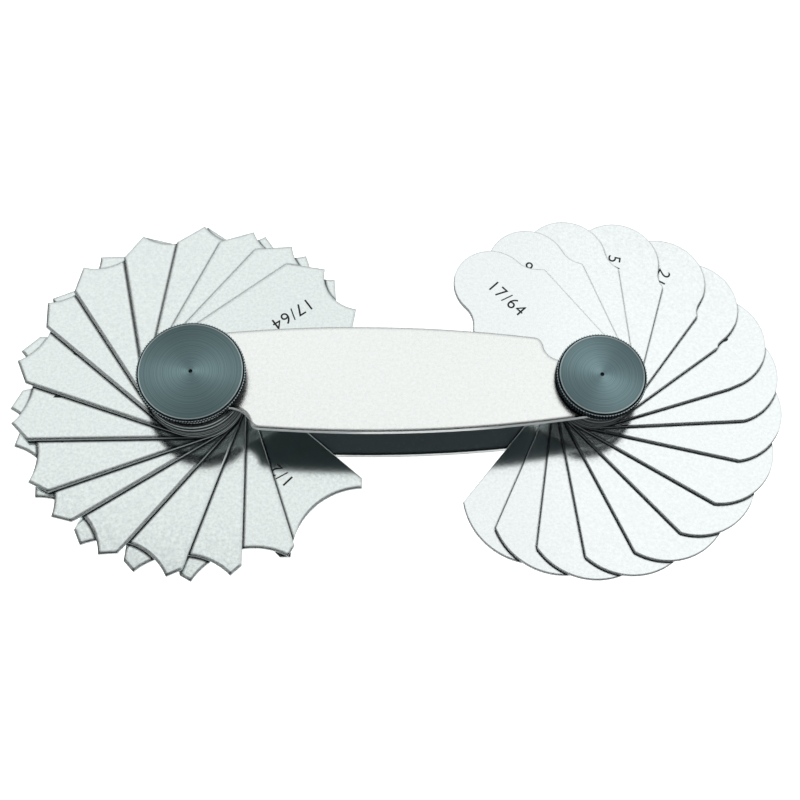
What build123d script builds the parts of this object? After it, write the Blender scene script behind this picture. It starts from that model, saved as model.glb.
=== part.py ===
from build123d import *
from fractions import Fraction
from math import asin, atan2, cos, hypot, pi, radians, sin, sqrt, tan
import os

# Radius gauge: a flat open holder with a stack of concave leaves at its left end and a stack
# of convex leaves at its right end, each clamped by a knurled lock nut on a riveted stud.
# Millimetres. Origin on the holder's underside, midway between the two studs. +X runs from
# the concave end to the convex end, +Z points up, out of the lock nuts.

# Gauged sizes in steps of a sixty-fourth of an inch, the smallest leaf on top of each stack
gauge_step = 0.396875
gauge_sizes = range(17, 33)

# Leaf stacks
leaf_thickness = 0.6
leaf_gap = 0.035
leaf_bore_clearance = 0.05

# Holder
stud_spacing = 70.6
plate_thickness = 1.0
plate_waist = 9.85
plate_left_flank = 8.1
plate_right_flank = 6.4
plate_left_end = 8.2
plate_right_end = 7.0
left_notch_radius = 3.75
left_notch_offset = 6.6
left_notch_depth = 3.35
right_notch_radius = 3.4
right_notch_offset = 6.35
right_notch_depth = 3.75
notch_lip_radius = 1.5

# Concave leaves: every hollow stops at the same distance from the stud, and the tips rise a
# little further past it on the larger sizes
concave_head_radius = 8.6
concave_end_half_width = 9.95
concave_reach = 28.9
concave_tip_rise = 2.1
concave_tip_rise_growth = 0.23

# Convex leaves
convex_head_radius = 6.75
convex_end_half_width = 10.1
convex_width_station = 31.0
convex_reach = 33.25
neck_setback = 11.3
neck_fillet = 5.0

# How the leaves stand in the open fans, anticlockwise from +X, from the top leaf down
concave_fan = (35.4, 49.2, 63.1, 79.3, 99.4, 121, 136.9, 158.1, 178.5, 198.1, 210.7, 228.8, 249.6, 267.9, 285.3, 315.8)
convex_fan = (133.6, 116.2, 100.2, 79.1, 59.3, 42.7, 23.7, 9.2, 353, 334, 317.5, 300.1, 283.4, 267.1, 251.9, 237.7)

# Studs: a shank for the leaves, a shoulder the top plate sits on, and a threaded tip
shank_radius = 2.38
thread_radius = 1.59
rivet_head_radius = 3.2
rivet_half_angle = 41.0

# Knurled lock nuts
left_nut_radius = 9.4
left_nut_face_radius = 8.92
left_nut_top = 2.88
left_nut_rim = 0.65
left_boss_radius = 7.4
right_nut_radius = 7.85
right_nut_face_radius = 7.35
right_nut_top = 2.29
right_nut_rim = 1.55
right_boss_radius = 7.3
nut_seat_gap = 0.03
nut_cap = 0.7
nut_bore_clearance = 0.06
nut_chamfer_height = 0.28
knurl_pitch = 0.52
knurl_depth = 0.22
stud_end_gap = 0.1
stud_tip_chamfer = 0.25
centre_dimple_radius = 0.35
centre_dimple_depth = 0.3

# Heights and radii that follow from the sizes above
leaf_count = len(gauge_sizes)
leaf_pitch = leaf_thickness + leaf_gap
stack_height = leaf_count * leaf_pitch
top_plate_base = plate_thickness + stack_height
holder_top = top_plate_base + plate_thickness
leaf_bore_radius = shank_radius + leaf_bore_clearance
nut_base = holder_top + nut_seat_gap
rivet_depth = (rivet_head_radius - shank_radius) / tan(radians(rivet_half_angle))
left_x = -stud_spacing / 2
right_x = stud_spacing / 2


def leaf_base(index):
    """Height of the underside of the leaf that lies index places below the top of its stack."""
    return plate_thickness + leaf_gap / 2 + (leaf_count - 1 - index) * leaf_pitch


def mirrored(point):
    return (point[0], -point[1])


class LeafSide:
    """Straight side of a leaf, tangent to its round head and passing through one wide point."""

    def __init__(self, head_radius, half_width, station):
        span = hypot(station, half_width)
        self.taper = atan2(half_width, station) - asin(head_radius / span)
        self.start = (-head_radius * sin(self.taper), head_radius * cos(self.taper))

    def half_width(self, x):
        return self.start[1] + (x - self.start[0]) * tan(self.taper)

    def meets_shoulder(self, tip_x, tip_y):
        """Point where a 45 degree shoulder, rising back from the tip, reaches this side."""
        back = (self.half_width(tip_x) - tip_y) / (1 + tan(self.taper))
        return (tip_x - back, tip_y + back)

    def meets_circle(self, centre_x, radius):
        """Forward point where this side crosses a circle centred on the leaf's axis."""
        slope = tan(self.taper)
        rise = self.half_width(centre_x)
        a = 1 + slope**2
        b = slope * rise
        c = rise**2 - radius**2
        x = centre_x + (-b + sqrt(b**2 - a * c)) / a
        return (x, self.half_width(x))


def leaf_from_upper_side(head_radius, side, upper, end_middle):
    """Leaf blank from its head, its upper side mirrored below, and the arc across its end."""
    head = ThreePointArc(side.start, (-head_radius, 0), mirrored(side.start))
    edges = [head]
    for points in upper:
        lower = [mirrored(point) for point in points]
        if len(points) == 3:
            edges += [ThreePointArc(*points), ThreePointArc(*lower)]
        else:
            edges += [Line(*points), Line(*lower)]
    end_start = upper[-1][-1]
    edges.append(ThreePointArc(end_start, end_middle, mirrored(end_start)))
    blank = make_face(edges) - Circle(leaf_bore_radius)
    return extrude(blank, amount=leaf_thickness)


def concave_leaf(radius):
    """Leaf that ends in a quarter circle hollow between two 45 degree shoulders."""
    side = LeafSide(concave_head_radius, concave_end_half_width, concave_reach)
    rise = concave_tip_rise + concave_tip_rise_growth * (radius - gauge_step * gauge_sizes[0])
    tip = (concave_reach + rise, sqrt(radius**2 - (radius - rise) ** 2))
    corner = side.meets_shoulder(*tip)
    upper = [(side.start, corner), (corner, tip)]
    hollow = (concave_reach, 0)
    return leaf_from_upper_side(concave_head_radius, side, upper, hollow)


def necked_side(side, radius, centre_x):
    """Upper side of a leaf whose nose is narrower than its blade: shoulder, fillet, neck."""
    corner_x = convex_reach - neck_setback
    corner = (corner_x, side.half_width(corner_x))
    drop = corner[1] - radius
    neck_length = centre_x - corner_x - drop
    tangent_length = min(neck_fillet * tan(pi / 8), 0.9 * neck_length, 0.9 * drop * sqrt(2))
    fillet_radius = tangent_length / tan(pi / 8)
    foot_x = corner_x + drop
    shoulder_end = (foot_x - tangent_length / sqrt(2), radius + tangent_length / sqrt(2))
    neck = (foot_x + tangent_length, radius)
    middle = (
        neck[0] - fillet_radius * sin(pi / 8),
        radius + fillet_radius * (1 - cos(pi / 8)),
    )
    return [
        (side.start, corner),
        (corner, shoulder_end),
        (shoulder_end, middle, neck),
        (neck, (centre_x, radius)),
    ]


def convex_leaf(radius):
    """Leaf that ends in a rounded nose, necked in where the nose is narrower than the blade."""
    side = LeafSide(convex_head_radius, convex_end_half_width, convex_width_station)
    centre_x = convex_reach - radius
    crown = (convex_reach, 0)
    corner_x = convex_reach - neck_setback
    drop = side.half_width(corner_x) - radius
    if drop > leaf_thickness / 2:
        upper = necked_side(side, radius, centre_x)
    elif radius < side.half_width(centre_x):
        corner = (corner_x, side.half_width(corner_x))
        upper = [(side.start, corner), (corner, (centre_x, radius))]
    else:
        upper = [(side.start, side.meets_circle(centre_x, radius))]
    return leaf_from_upper_side(convex_head_radius, side, upper, crown)


def placed_leaf(leaf, index, stud_x, angle):
    return Pos(stud_x, 0, leaf_base(index)) * Rot(0, 0, angle) * leaf


def flank_half_width(x):
    """Half-width of the holder's bowed body at x."""
    middle = (plate_left_flank + plate_right_flank) / 2
    lean = (plate_right_flank - plate_left_flank) / stud_spacing
    bow = plate_waist - middle
    return middle + lean * x + bow * (1 - (2 * x / stud_spacing) ** 2)


def bowed_body():
    left_corner = (left_x, plate_left_flank)
    right_corner = (right_x, plate_right_flank)
    waist = (0, plate_waist)
    upper = ThreePointArc(left_corner, waist, right_corner)
    lower = ThreePointArc(mirrored(left_corner), mirrored(waist), mirrored(right_corner))
    right_side = Line(right_corner, mirrored(right_corner))
    left_side = Line(left_corner, mirrored(left_corner))
    return make_face([upper, right_side, lower, left_side])


def finger_notch(x, end_x, side, radius, depth):
    """Round notch in the flank on one side (1 or -1), open towards the end of the body."""
    flank = flank_half_width(x)
    floor = flank - depth
    outside = flank + radius
    opening = Pos((x + end_x) / 2, side * (floor + outside) / 2) * Rectangle(abs(end_x - x), outside - floor)
    return Pos(x, side * (floor + radius)) * Circle(radius) + opening


def corner_near(outline, x, y):
    """The corner of an outline that lies nearest to one point."""
    return outline.vertices().sort_by_distance((x, y, 0))[0]


def plate_outline():
    """Bowed body with a finger notch at two opposite corners and a round end at each stud."""
    left_notch_x = left_x + left_notch_offset
    right_notch_x = right_x - right_notch_offset
    body = bowed_body()
    body -= finger_notch(left_notch_x, left_x, -1, left_notch_radius, left_notch_depth)
    body -= finger_notch(right_notch_x, right_x, 1, right_notch_radius, right_notch_depth)
    left_lip = corner_near(body, left_notch_x + left_notch_radius, -flank_half_width(left_notch_x))
    right_lip = corner_near(body, right_notch_x - right_notch_radius, flank_half_width(right_notch_x))
    body = fillet([left_lip, right_lip], notch_lip_radius)
    body += Pos(left_x, 0) * Circle(plate_left_end)
    body += Pos(right_x, 0) * Circle(plate_right_end)
    return body


def holder_plate(base, hole_radius):
    outline = plate_outline()
    for x in (left_x, right_x):
        outline -= Pos(x, 0) * Circle(hole_radius)
    return Pos(0, 0, base) * extrude(outline, amount=plate_thickness)


def bottom_plate():
    """Bottom plate, countersunk underneath for the studs' rivet heads."""
    plate = holder_plate(0, shank_radius)
    for x in (left_x, right_x):
        plate -= Pos(x, 0, 0) * rivet_head()
    return plate


def rivet_head():
    head = Cone(rivet_head_radius, shank_radius, rivet_depth)
    return Pos(0, 0, rivet_depth / 2) * head


def cylinder_between(radius, low, high):
    return Pos(0, 0, (low + high) / 2) * Cylinder(radius, high - low)


def stud(x, tip_height):
    """Rivet head and shank in one, with a reduced threaded tip above its shoulder."""
    body = rivet_head() + cylinder_between(shank_radius, 0, top_plate_base)
    tip = cylinder_between(thread_radius, top_plate_base, tip_height)
    tip = chamfer(tip.edges().group_by(Axis.Z)[-1], stud_tip_chamfer)
    return Pos(x, 0, 0) * (body + tip)


def knurled_rim(radius, low, high):
    """Disc with fine triangular teeth all round, their crests on the given radius."""
    teeth = round(2 * pi * radius / knurl_pitch)
    step = 2 * pi / teeth
    points = []
    for tooth in range(teeth):
        crest = tooth * step
        root = crest + step / 2
        root_radius = radius - knurl_depth
        points.append((radius * cos(crest), radius * sin(crest)))
        points.append((root_radius * cos(root), root_radius * sin(root)))
    rim = extrude(make_face(Polyline(*points, close=True)), amount=high - low)
    return Pos(0, 0, low) * rim


def lock_nut(x, radius, face_radius, top, rim, boss_radius):
    """Knurled nut, tapered in below its rim, with a blind hole for the stud's threaded tip."""
    nut_top = holder_top + top
    rim_top = nut_top - nut_chamfer_height
    rim_base = rim_top - rim
    root_radius = radius - knurl_depth
    taper = min(root_radius - boss_radius, rim_base - nut_base)
    nut = knurled_rim(radius, rim_base, rim_top)
    nut += Pos(0, 0, nut_top - nut_chamfer_height / 2) * Cone(root_radius, face_radius, nut_chamfer_height)
    nut += Pos(0, 0, rim_base - taper / 2) * Cone(root_radius - taper, root_radius, taper)
    if rim_base - taper > nut_base:
        nut += cylinder_between(boss_radius, nut_base, rim_base - taper)
    bore_top = tip_height(top) + stud_end_gap
    nut -= cylinder_between(thread_radius + nut_bore_clearance, nut_base, bore_top)
    dimple = Cone(0, centre_dimple_radius, centre_dimple_depth)
    nut -= Pos(0, 0, nut_top - centre_dimple_depth / 2) * dimple
    return Pos(x, 0, 0) * nut


def tip_height(top):
    """Top of a stud whose nut stands the given height above the holder."""
    return holder_top + top - nut_cap - stud_end_gap


def leaves():
    """Every leaf at its place in the open fans, by node name."""
    nodes = {}
    for index, size in enumerate(gauge_sizes):
        radius = gauge_step * size
        name = str(Fraction(size, 64)).replace("/", "_")
        hollow_end = concave_leaf(radius)
        round_end = convex_leaf(radius)
        nodes["concave_" + name] = placed_leaf(hollow_end, index, left_x, concave_fan[index])
        nodes["convex_" + name] = placed_leaf(round_end, index, right_x, convex_fan[index])
    return nodes


def main():
    nodes = {
        "bottom_plate": bottom_plate(),
        "top_plate": holder_plate(top_plate_base, thread_radius),
        "left_stud": stud(left_x, tip_height(left_nut_top)),
        "right_stud": stud(right_x, tip_height(right_nut_top)),
        "left_lock_nut": lock_nut(
            left_x, left_nut_radius, left_nut_face_radius, left_nut_top, left_nut_rim, left_boss_radius
        ),
        "right_lock_nut": lock_nut(
            right_x, right_nut_radius, right_nut_face_radius, right_nut_top, right_nut_rim, right_boss_radius
        ),
    }
    nodes.update(leaves())
    os.makedirs("parts", exist_ok=True)
    for name, shape in nodes.items():
        export_step(shape, f"parts/{name}.step")


if __name__ == "__main__":
    main()
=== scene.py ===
import math

import bpy
from mathutils import Matrix, Vector


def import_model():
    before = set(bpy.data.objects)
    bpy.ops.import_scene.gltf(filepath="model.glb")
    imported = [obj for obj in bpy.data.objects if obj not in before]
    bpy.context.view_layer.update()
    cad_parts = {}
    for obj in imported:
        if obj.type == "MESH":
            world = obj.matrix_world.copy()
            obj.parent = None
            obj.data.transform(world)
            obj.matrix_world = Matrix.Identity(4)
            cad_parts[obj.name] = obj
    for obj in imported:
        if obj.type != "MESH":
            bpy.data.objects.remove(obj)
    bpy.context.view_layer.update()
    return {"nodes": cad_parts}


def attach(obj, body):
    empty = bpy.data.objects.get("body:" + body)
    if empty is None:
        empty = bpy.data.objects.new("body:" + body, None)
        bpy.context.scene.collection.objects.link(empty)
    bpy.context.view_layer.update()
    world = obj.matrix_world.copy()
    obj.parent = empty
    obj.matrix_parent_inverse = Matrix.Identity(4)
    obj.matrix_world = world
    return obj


# Looks of the radius gauge: satin steel leaves and holder, blued turned lock nuts, engraved
# sizes, a white table. Metres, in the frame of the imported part.

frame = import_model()

MM = 0.001

# Camera
CAMERA_TARGET = Vector((0.676, -0.938, 5.0)) * MM
CAMERA_DISTANCE = 242 * MM
CAMERA_ELEVATION = math.radians(66.77)
CAMERA_AZIMUTH = math.radians(-3.33)
CAMERA_ROLL = math.radians(3.28)
LENS_MM = 61.3
SENSOR_MM = 36
CLIP_START = 10 * MM

# Leaf stacks, as in the part: each fan gives the leaves' angles from the top leaf down
LEAF_COUNT = 16
SMALLEST_SIZE = 17
SIZE_DENOMINATOR = 64
STUD_X = 35.3 * MM
PLATE_THICKNESS = 1.0 * MM
LEAF_THICKNESS = 0.6 * MM
LEAF_GAP = 0.035 * MM
LEAF_PITCH = LEAF_THICKNESS + LEAF_GAP
CONCAVE_FAN = (
    35.4, 49.2, 63.1, 79.3, 99.4, 121, 136.9, 158.1,
    178.5, 198.1, 210.7, 228.8, 249.6, 267.9, 285.3, 315.8,
)
CONVEX_FAN = (
    133.6, 116.2, 100.2, 79.1, 59.3, 42.7, 23.7, 9.2,
    353, 334, 317.5, 300.1, 283.4, 267.1, 251.9, 237.7,
)

# Steel: dark and light end of each mottle, and the painted shade on the plates' inner faces
# One steel throughout, painted darker on the concave leaves and lighter on the holder for the light on
# each: painted light
CONCAVE_STEEL = ((0.74, 0.8, 0.79), (0.88, 0.93, 0.92))
CONVEX_STEEL = ((0.86, 0.9, 0.9), (0.95, 0.99, 0.99))
HOLDER_STEEL = ((0.94, 0.96, 0.94), (0.98, 1, 0.98))
PAINTED_INSIDE_SHADE = (0.115, 0.145, 0.15)
LEAF_ROUGHNESS = 0.15
HOLDER_ROUGHNESS = 0.25
ROUGHNESS_SWING = 0.04
MOTTLE_SCALE = 1800
MOTTLE_DETAIL = 6
MOTTLE_BREAKUP = 0.65
SATIN_SCALE = 5200
SATIN_DETAIL = 3
SATIN_STRENGTH = 0.12
SATIN_DEPTH = 0.02 * MM
WALL_METAL = 0.2

# A normal's Z at which a face counts as flat, and below which it counts as a wall
FLAT = 0.9
STEEP = 0.5

# Span of a noise pattern's values that a colour or roughness is spread over
PATTERN_LOW = 0.3
PATTERN_HIGH = 0.7

# Painted dark reflections along broken edges, full where they lean to EDGE_SIDE, and painted shade beside a
# step up
PAINTED_SHADE_COLOUR = (0.008, 0.01, 0.011)
EDGE_SIDE = (-0.35, -0.94, 0)
EDGE_LEAN = (0.025, 0.085)
EDGE_TILT = (0.998, 0.985)
ROUNDED_SHARE = 0.4
CORNER_REACH = 0.6 * MM
INSIDE_CORNER_SHADE = (0.8, 0.68)
HOLDER_LINES = {"edge_width": 0.85 * MM, "faint_edge": 0.3, "corner_shade": (0.9, 0.8)}
CONCAVE_LINES = {"edge_width": 0.85 * MM, "faint_edge": 0.16, "corner_shade": (0.9, 0.8), "rim_shade": 0.1}
CONVEX_LINES = {"edge_width": 0.4 * MM, "faint_edge": 0.14, "corner_shade": (0.83, 0.73), "rim_shade": 0.7}

# Painted shade on leaf rims: streaked at random from leaf to leaf, darkest on the heads within this
# distance of the stud
STREAK_SCALE = 1500
STREAK_SPAN = (0.48, 0.64)
HEAD_SPAN = (8.7 * MM, 11 * MM)
HEAD_SHADE = 0.95

# Lock nuts: turned faces with a painted highlight along the lip, dark knurling
# One blued steel on both nuts, the right face painted lighter than the left for the light on it: painted
# light
LEFT_NUT_FACE = ((0.32, 0.47, 0.49), (0.51, 0.72, 0.74))
RIGHT_NUT_FACE = ((0.37, 0.54, 0.57), (0.59, 0.83, 0.87))
LEFT_FACE_RADIUS = 8.92 * MM
RIGHT_FACE_RADIUS = 7.35 * MM
LEFT_NUT_SPIN = 0.2
RIGHT_NUT_SPIN = 0.33
KNURL_COLOUR = (0.02, 0.026, 0.03)
KNURL_FACING = (0.95, 0.85)
PAINTED_LIP_HIGHLIGHT = (0.75, 0.87, 0.88)
LIP_START = 0.25 * MM
LIP_FULL = 0.15 * MM
RIM_DARKENING = 0.35
RING_SCALE = 7000
RING_DETAIL = 4
RING_STRENGTH = 0.1
RING_DEPTH = 0.01 * MM
NUT_ROUGHNESS = (0.62, 0.56)
NUT_TINT = (0.1, 0.12, 0.12, 1)
NUT_ANISOTROPY = 0.97

# Engraved sizes: place of each on its leaf, and shifts for those that lie off the common place
MARK_HEIGHT = 2.3 * MM
MARK_RELIEF = 0.004 * MM
STROKE_WEIGHT = 0.001
DIGIT_SPACING = 1.12
CONCAVE_MARK_CENTRE = (21.0 * MM, 0.7 * MM)
CONVEX_MARK_START = (26.55 * MM, 0.2 * MM)
MARK_SHIFT = {
    "concave_21_64": (-0.8 * MM, -0.7 * MM),
    "concave_11_32": (-0.8 * MM, -1.0 * MM),
    "concave_29_64": (-0.8 * MM, -1.1 * MM),
    "concave_1_2": (-0.58 * MM, -0.16 * MM),
    "convex_17_64": (-0.5 * MM, -0.25 * MM),
    "convex_19_64": (-0.3 * MM, 0.7 * MM),
    "convex_21_64": (0.8 * MM, -0.3 * MM),
    "convex_23_64": (0.1 * MM, 0.2 * MM),
}
INK = ((0.01, 0.012, 0.012), (0.03, 0.034, 0.034))
INK_SCALE = 4000
INK_DETAIL = 3
INK_ROUGHNESS = 0.6

# White table
TABLE_HALF = 1.5
TABLE_DROP = 0.02 * MM
TABLE_COLOUR = (0.9, 0.9, 0.9, 1)
TABLE_GLOW = 0.9

# Room light by height, from straight down to overhead: bright along the horizon, dim overhead
SKY = (
    (0, (0.1, 0.1, 0.1)),
    (0.45, (0.9, 0.95, 0.96)),
    (0.6, (0.7, 0.74, 0.75)),
    (0.83, (0.34, 0.37, 0.38)),
    (0.92, (0.06, 0.065, 0.07)),
)

# Lamps: name, position, aim, turn in degrees, width, depth, power, colour
LAMPS = (
    ("softbox", (0.06, 0.24, 0.54), (0.06, 0.24, 0), -15, 0.8, 0.36, 0.82, (0.99, 1, 0.99)),
    ("side_softbox", (0.3, 0.2, 0.5), (0.3, 0.2, 0), 0, 0.4, 0.4, 0.03, (1, 1, 1)),
    ("low_softbox", (0.5, -0.28, 0.3), (0, 0, 0), 0, 0.9, 0.5, 0.3, (1, 1, 1)),
)


def principled(name):
    material = bpy.data.materials.new(name)
    material.use_nodes = True
    return material, material.node_tree, material.node_tree.nodes["Principled BSDF"]


def noise(tree, scale, detail, roughness=0.5):
    """Noise in the object's own coordinates, so that it moves with the piece."""
    place = tree.nodes.new("ShaderNodeTexCoord")
    node = tree.nodes.new("ShaderNodeTexNoise")
    node.inputs["Scale"].default_value = scale
    node.inputs["Detail"].default_value = detail
    node.inputs["Roughness"].default_value = roughness
    tree.links.new(place.outputs["Object"], node.inputs["Vector"])
    return node.outputs["Fac"]


def noise_along(tree, value, scale, detail):
    """Noise that changes with one value only, such as a height or a distance."""
    node = tree.nodes.new("ShaderNodeTexNoise")
    node.noise_dimensions = "1D"
    node.inputs["Scale"].default_value = scale
    node.inputs["Detail"].default_value = detail
    tree.links.new(value, node.inputs["W"])
    return node.outputs["Fac"]


def ramp(tree, value, stops):
    """Colour ramp over value; stops are (position, colour) pairs."""
    node = tree.nodes.new("ShaderNodeValToRGB")
    elements = node.color_ramp.elements
    while len(elements) < len(stops):
        elements.new(0.5)
    for element, (position, colour) in zip(elements, stops):
        element.position = position
        element.color = (*colour, 1)
    tree.links.new(value, node.inputs["Fac"])
    return node.outputs["Color"]


def pattern_colour(tree, pattern, colours):
    """Spread a pattern over a dark and a light colour."""
    return ramp(tree, pattern, [(PATTERN_LOW, colours[0]), (PATTERN_HIGH, colours[1])])


def mapped(tree, value, low, high, out_low, out_high):
    node = tree.nodes.new("ShaderNodeMapRange")
    node.inputs["From Min"].default_value = low
    node.inputs["From Max"].default_value = high
    node.inputs["To Min"].default_value = out_low
    node.inputs["To Max"].default_value = out_high
    tree.links.new(value, node.inputs["Value"])
    return node.outputs["Result"]


def mixed(tree, factor, first, second):
    """Colour mix; first is a socket, second a socket or a plain colour."""
    node = tree.nodes.new("ShaderNodeMix")
    node.data_type = "RGBA"
    tree.links.new(factor, node.inputs["Factor"])
    tree.links.new(first, node.inputs["A"])
    if isinstance(second, tuple):
        node.inputs["B"].default_value = (*second, 1)
    else:
        tree.links.new(second, node.inputs["B"])
    return node.outputs["Result"]


def combined(tree, operation, first, second):
    node = tree.nodes.new("ShaderNodeMath")
    node.operation = operation
    tree.links.new(first, node.inputs[0])
    tree.links.new(second, node.inputs[1])
    return node.outputs[0]


def axis_values(tree, vector):
    """X, Y and Z of a vector, by name."""
    node = tree.nodes.new("ShaderNodeSeparateXYZ")
    tree.links.new(vector, node.inputs[0])
    return node.outputs


def bump(tree, shader, height, strength, distance, normal=None):
    node = tree.nodes.new("ShaderNodeBump")
    node.inputs["Strength"].default_value = strength
    node.inputs["Distance"].default_value = distance
    if normal:
        tree.links.new(normal, node.inputs["Normal"])
    tree.links.new(height, node.inputs["Height"])
    tree.links.new(node.outputs["Normal"], shader.inputs["Normal"])


def broken_edge(tree, radius):
    """Normal that rounds a piece's sharp edges over the given radius."""
    bevel = tree.nodes.new("ShaderNodeBevel")
    bevel.samples = 6
    bevel.inputs["Radius"].default_value = radius
    return bevel.outputs["Normal"]


def painted_edge_reflection(tree, edge_width, faint_edge):
    """Painted dark reflection on a top face's edges, full where they lean to EDGE_SIDE, else faint."""
    normal = broken_edge(tree, edge_width)
    lean = tree.nodes.new("ShaderNodeVectorMath")
    lean.operation = "DOT_PRODUCT"
    lean.inputs[1].default_value = EDGE_SIDE
    tree.links.new(normal, lean.inputs[0])
    full = mapped(tree, lean.outputs["Value"], *EDGE_LEAN, 0, 1)
    faint = mapped(tree, axis_values(tree, normal)["Z"], *EDGE_TILT, 0, faint_edge)
    return combined(tree, "MAXIMUM", full, faint)


def painted_corner_shade(tree, shade):
    """Painted shade: one where a surface lies close beside the step up to another, falling to zero away
    from it.
    """
    node = tree.nodes.new("ShaderNodeAmbientOcclusion")
    node.samples = 6
    node.inputs["Distance"].default_value = CORNER_REACH
    return mapped(tree, node.outputs["AO"], *shade, 0, 1)


def facing(tree, low, high):
    """Rises from zero to one as the Z of a surface's normal goes from low to high."""
    surface = tree.nodes.new("ShaderNodeNewGeometry")
    return mapped(tree, axis_values(tree, surface.outputs["Normal"])["Z"], low, high, 0, 1)


def walls(tree):
    """One on upright faces, zero on faces that look straight up or down."""
    not_up = facing(tree, FLAT, STEEP)
    not_down = facing(tree, -FLAT, -STEEP)
    return combined(tree, "MULTIPLY", not_up, not_down)


def axis_distance(tree, stud_x):
    """Distance from one stud's axis."""
    place = tree.nodes.new("ShaderNodeTexCoord")
    centred = tree.nodes.new("ShaderNodeVectorMath")
    centred.operation = "MULTIPLY_ADD"
    centred.inputs[1].default_value = (1, 1, 0)
    centred.inputs[2].default_value = (-stud_x, 0, 0)
    tree.links.new(place.outputs["Object"], centred.inputs[0])
    distance = tree.nodes.new("ShaderNodeVectorMath")
    distance.operation = "LENGTH"
    tree.links.new(centred.outputs[0], distance.inputs[0])
    return distance.outputs["Value"]


def painted_rim_shade(tree, stud_x, rim_shade):
    """Painted shade on a leaf's rim: streaked from leaf to leaf, and darkest on the heads round the stud.
    """
    place = tree.nodes.new("ShaderNodeTexCoord")
    height = axis_values(tree, place.outputs["Object"])["Z"]
    streaks = noise_along(tree, height, STREAK_SCALE, 1)
    streak = mapped(tree, streaks, *STREAK_SPAN, 0, 1)
    away = mapped(tree, axis_distance(tree, stud_x), *HEAD_SPAN, 0, 1)
    shade = mapped(tree, combined(tree, "MAXIMUM", away, streak), 0, 1, HEAD_SHADE, rim_shade)
    return combined(tree, "MULTIPLY", shade, walls(tree))


def painted_shade_mask(tree, lines, inside, stud_x):
    """Where one steel is painted dark for shade and reflection: broken edges, steps and, on leaves, their
    rims.
    """
    edges = painted_edge_reflection(tree, lines["edge_width"], lines["faint_edge"])
    corners = painted_corner_shade(tree, lines["corner_shade"])
    on_top = combined(tree, "MAXIMUM", edges, corners)
    mask = combined(tree, "MULTIPLY", on_top, facing(tree, STEEP, FLAT))
    if inside:
        mask = combined(tree, "MAXIMUM", mask, painted_corner_shade(tree, INSIDE_CORNER_SHADE))
    if stud_x:
        mask = combined(tree, "MAXIMUM", mask, painted_rim_shade(tree, stud_x, lines["rim_shade"]))
    return mask


def steel(name, colours, roughness, lines, inside=None, stud_x=None):
    """Satin steel with a fine mottle, painted shade and dark reflections on edges, steps and rims; painted
    shade inside the holder's plates.
    """
    material, tree, shader = principled(name)
    mottle = noise(tree, MOTTLE_SCALE, MOTTLE_DETAIL, MOTTLE_BREAKUP)
    colour = pattern_colour(tree, mottle, colours)
    metal = mapped(tree, walls(tree), 0, 1, 1, WALL_METAL)
    # Painted shade: the plates' inner faces turn dark grey and lose their metal
    if inside:
        shaded_inside = facing(tree, *inside)
        colour = mixed(tree, shaded_inside, colour, PAINTED_INSIDE_SHADE)
        metal = combined(tree, "SUBTRACT", metal, shaded_inside)
    tree.links.new(metal, shader.inputs["Metallic"])
    mask = painted_shade_mask(tree, lines, inside, stud_x)
    # Painted shade and painted dark reflection: the mask turns the steel near black
    tree.links.new(mixed(tree, mask, colour, PAINTED_SHADE_COLOUR), shader.inputs["Base Color"])
    rough = roughness + ROUGHNESS_SWING
    smooth = roughness - ROUGHNESS_SWING
    worn = mapped(tree, mottle, PATTERN_LOW, PATTERN_HIGH, rough, smooth)
    tree.links.new(worn, shader.inputs["Roughness"])
    rounded = broken_edge(tree, ROUNDED_SHARE * lines["edge_width"])
    satin = noise(tree, SATIN_SCALE, SATIN_DETAIL)
    bump(tree, shader, satin, SATIN_STRENGTH, SATIN_DEPTH, rounded)
    return material


def nut_colour(tree, distance, rings, face_steel, face_radius):
    """Ringed face that darkens towards a painted highlight along the lip, and dark knurling below it."""
    face = pattern_colour(tree, rings, face_steel)
    outward = mapped(tree, distance, 0, face_radius, 0, RIM_DARKENING)
    face = mixed(tree, outward, face, KNURL_COLOUR)
    # Painted highlight: a bright ring just inside the face's edge
    lip_highlight = mapped(tree, distance, face_radius - LIP_START, face_radius - LIP_FULL, 0, 1)
    highlighted = mixed(tree, lip_highlight, face, PAINTED_LIP_HIGHLIGHT)
    return mixed(tree, facing(tree, *KNURL_FACING), highlighted, KNURL_COLOUR)


def turned_steel(name, face_steel, stud_x, face_radius, spin):
    """Grey-blue turned face of a lock nut, with concentric tool marks and dark knurling."""
    material, tree, shader = principled(name)
    distance = axis_distance(tree, stud_x)
    rings = noise_along(tree, distance, RING_SCALE, RING_DETAIL)
    colour = nut_colour(tree, distance, rings, face_steel, face_radius)
    tree.links.new(colour, shader.inputs["Base Color"])
    shader.inputs["Metallic"].default_value = 1
    worn = mapped(tree, rings, PATTERN_LOW, PATTERN_HIGH, *NUT_ROUGHNESS)
    tree.links.new(worn, shader.inputs["Roughness"])
    shader.inputs["Specular Tint"].default_value = NUT_TINT
    shader.inputs["Anisotropic"].default_value = NUT_ANISOTROPY
    shader.inputs["Anisotropic Rotation"].default_value = spin
    bump(tree, shader, rings, RING_STRENGTH, RING_DEPTH)
    tangent = tree.nodes.new("ShaderNodeTangent")
    tangent.direction_type = "RADIAL"
    tangent.axis = "Z"
    tree.links.new(tangent.outputs["Tangent"], shader.inputs["Tangent"])
    return material


def ink():
    """Dark bottom of the engraved strokes."""
    material, tree, shader = principled("engraving")
    colour = pattern_colour(tree, noise(tree, INK_SCALE, INK_DETAIL), INK)
    tree.links.new(colour, shader.inputs["Base Color"])
    shader.inputs["Roughness"].default_value = INK_ROUGHNESS
    return material


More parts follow.
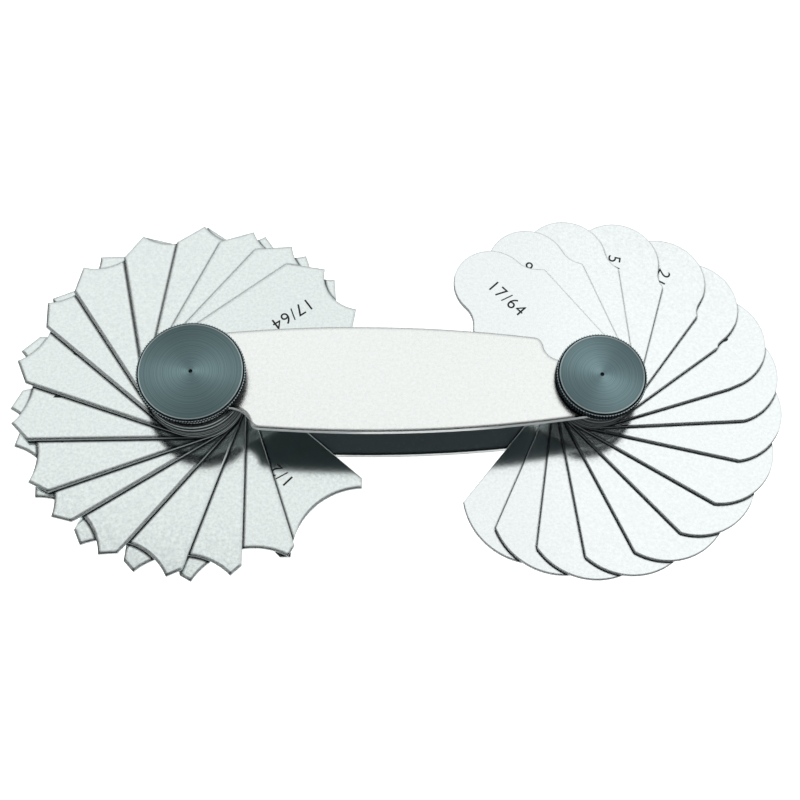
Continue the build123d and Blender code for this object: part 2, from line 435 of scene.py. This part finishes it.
def dress(nodes, material):
    for node in nodes:
        for slot in frame["nodes"][node].material_slots:
            slot.material = material


def size_text(index):
    """Size of the leaf that lies index places below the top, in its lowest terms."""
    top = SMALLEST_SIZE + index
    bottom = SIZE_DENOMINATOR
    while top % 2 == 0:
        top //= 2
        bottom //= 2
    return f"{top}/{bottom}"


def leaf_top(index):
    return PLATE_THICKNESS + LEAF_GAP / 2 + (LEAF_COUNT - 1 - index) * LEAF_PITCH + LEAF_THICKNESS


def text_mesh(text, name):
    """Digits as a mesh, centred on the origin and one unit high."""
    curve = bpy.data.curves.new(name, "FONT")
    curve.body = text
    curve.offset = STROKE_WEIGHT
    curve.space_character = DIGIT_SPACING
    holder = bpy.data.objects.new(name + ".text", curve)
    bpy.context.scene.collection.objects.link(holder)
    bpy.context.view_layer.update()
    evaluated = holder.evaluated_get(bpy.context.evaluated_depsgraph_get())
    mesh = bpy.data.meshes.new_from_object(evaluated)
    bpy.data.objects.remove(holder)
    mesh.name = name
    xs = [v.co.x for v in mesh.vertices]
    ys = [v.co.y for v in mesh.vertices]
    centre = Vector(((min(xs) + max(xs)) / 2, (min(ys) + max(ys)) / 2, 0))
    mesh.transform(Matrix.Translation(-centre))
    mesh.transform(Matrix.Scale(1 / (max(ys) - min(ys)), 4))
    return mesh


def mark_centre(mesh, end):
    """Where a size lies on its leaf: centred on the concave ones, from one start on the convex ones."""
    if end == "concave":
        return CONCAVE_MARK_CENTRE
    half_length = max(v.co.x for v in mesh.vertices) * MARK_HEIGHT
    return (CONVEX_MARK_START[0] - half_length, CONVEX_MARK_START[1])


def engrave(index, end, stud_x, angle, material):
    """Size of one leaf, read from its tip towards its stud."""
    node = f"{end}_{size_text(index).replace('/', '_')}"
    mesh = text_mesh(size_text(index), "size_" + node)
    centre = mark_centre(mesh, end)
    shift = MARK_SHIFT.get(node, (0, 0))
    mark = bpy.data.objects.new("size_" + node, mesh)
    bpy.context.scene.collection.objects.link(mark)
    place = Matrix.Translation((stud_x, 0, leaf_top(index) + MARK_RELIEF))
    turn = Matrix.Rotation(math.radians(angle), 4, "Z")
    along = Matrix.Translation((centre[0] + shift[0], centre[1] + shift[1], 0))
    reading = Matrix.Rotation(math.pi, 4, "Z")
    mesh.transform(place @ turn @ along @ reading @ Matrix.Scale(MARK_HEIGHT, 4))
    mesh.materials.append(material)
    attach(mark, node)


def white_surface():
    """Plain white that glows only where it is seen, directly, through glass or in a reflection."""
    material = bpy.data.materials.new("table")
    material.use_nodes = True
    tree = material.node_tree
    tree.nodes.clear()
    output = tree.nodes.new("ShaderNodeOutputMaterial")
    diffuse = tree.nodes.new("ShaderNodeBsdfDiffuse")
    diffuse.inputs["Color"].default_value = TABLE_COLOUR
    glow = tree.nodes.new("ShaderNodeEmission")
    glow.inputs["Color"].default_value = (1, 1, 1, 1)
    glow.inputs["Strength"].default_value = TABLE_GLOW
    bright = tree.nodes.new("ShaderNodeAddShader")
    tree.links.new(diffuse.outputs[0], bright.inputs[0])
    tree.links.new(glow.outputs[0], bright.inputs[1])
    paths = tree.nodes.new("ShaderNodeLightPath").outputs
    seen = combined(tree, "MAXIMUM", paths["Is Camera Ray"], paths["Is Transmission Ray"])
    seen = combined(tree, "MAXIMUM", seen, paths["Is Glossy Ray"])
    choose = tree.nodes.new("ShaderNodeMixShader")
    tree.links.new(seen, choose.inputs["Fac"])
    tree.links.new(diffuse.outputs[0], choose.inputs[1])
    tree.links.new(bright.outputs[0], choose.inputs[2])
    tree.links.new(choose.outputs[0], output.inputs["Surface"])
    return material


def table():
    """White table that keeps only a faint shadow of the gauge."""
    mesh = bpy.data.meshes.new("table")
    sides = [(-1, -1), (1, -1), (1, 1), (-1, 1)]
    mesh.from_pydata([(x * TABLE_HALF, y * TABLE_HALF, -TABLE_DROP) for x, y in sides], [], [(0, 1, 2, 3)])
    floor = bpy.data.objects.new("table", mesh)
    bpy.context.scene.collection.objects.link(floor)
    mesh.materials.append(white_surface())


def world():
    scene_world = bpy.data.worlds.new("studio")
    bpy.context.scene.world = scene_world
    scene_world.use_nodes = True
    tree = scene_world.node_tree
    background = tree.nodes["Background"]
    background.inputs["Strength"].default_value = 1
    place = tree.nodes.new("ShaderNodeTexCoord")
    height = mapped(tree, axis_values(tree, place.outputs["Generated"])["Z"], -1, 1, 0, 1)
    tree.links.new(ramp(tree, height, SKY), background.inputs["Color"])


def area_light(name, position, aim, turn, width, depth, power, colour):
    light = bpy.data.lights.new(name, "AREA")
    light.shape = "RECTANGLE"
    light.size = width
    light.size_y = depth
    light.energy = power
    light.color = colour
    lamp = bpy.data.objects.new(name, light)
    bpy.context.scene.collection.objects.link(lamp)
    lamp.location = position
    pointing = (Vector(aim) - Vector(position)).to_track_quat("-Z", "Y").to_matrix()
    lamp.rotation_euler = (pointing @ Matrix.Rotation(math.radians(turn), 3, "Z")).to_euler()


def camera():
    """Camera that looks at its target from the given direction, rolled about its own axis."""
    horizontal = math.cos(CAMERA_ELEVATION)
    away = Vector((
        math.sin(CAMERA_AZIMUTH) * horizontal,
        -math.cos(CAMERA_AZIMUTH) * horizontal,
        math.sin(CAMERA_ELEVATION),
    ))
    place = CAMERA_TARGET + away * CAMERA_DISTANCE
    right = (-away).cross(Vector((0, 0, 1))).normalized()
    up = right.cross(-away)
    roll_right = right * math.cos(CAMERA_ROLL) + up * math.sin(CAMERA_ROLL)
    roll_up = up * math.cos(CAMERA_ROLL) - right * math.sin(CAMERA_ROLL)
    data = bpy.data.cameras.new("camera")
    data.lens = LENS_MM
    data.sensor_width = SENSOR_MM
    data.clip_start = CLIP_START
    viewer = bpy.data.objects.new("camera", data)
    bpy.context.scene.collection.objects.link(viewer)
    axes = Matrix((roll_right, roll_up, away)).transposed().to_4x4()
    viewer.matrix_world = Matrix.Translation(place) @ axes
    bpy.context.scene.camera = viewer


concave_nodes = [name for name in frame["nodes"] if name.startswith("concave_")]
convex_nodes = [name for name in frame["nodes"] if name.startswith("convex_")]
top_face = (STEEP, FLAT)
bottom_face = (-STEEP, -FLAT)
concave_steel = steel("concave leaf steel", CONCAVE_STEEL, LEAF_ROUGHNESS, CONCAVE_LINES, stud_x=-STUD_X)
convex_steel = steel("convex leaf steel", CONVEX_STEEL, LEAF_ROUGHNESS, CONVEX_LINES, stud_x=STUD_X)
dress(concave_nodes, concave_steel)
dress(convex_nodes, convex_steel)
dress(["left_stud", "right_stud"], steel("stud steel", HOLDER_STEEL, HOLDER_ROUGHNESS, HOLDER_LINES))
dress(["top_plate"], steel("top plate steel", HOLDER_STEEL, HOLDER_ROUGHNESS, HOLDER_LINES, bottom_face))
dress(["bottom_plate"], steel("bottom plate steel", HOLDER_STEEL, HOLDER_ROUGHNESS, HOLDER_LINES, top_face))
left_steel = turned_steel("left nut steel", LEFT_NUT_FACE, -STUD_X, LEFT_FACE_RADIUS, LEFT_NUT_SPIN)
right_steel = turned_steel("right nut steel", RIGHT_NUT_FACE, STUD_X, RIGHT_FACE_RADIUS, RIGHT_NUT_SPIN)
dress(["left_lock_nut"], left_steel)
dress(["right_lock_nut"], right_steel)

engraving = ink()
for leaf in range(LEAF_COUNT):
    engrave(leaf, "concave", -STUD_X, CONCAVE_FAN[leaf], engraving)
    engrave(leaf, "convex", STUD_X, CONVEX_FAN[leaf], engraving)

table()
world()
for lamp in LAMPS:
    area_light(*lamp)
camera()
bpy.context.scene.view_settings.view_transform = "Standard"
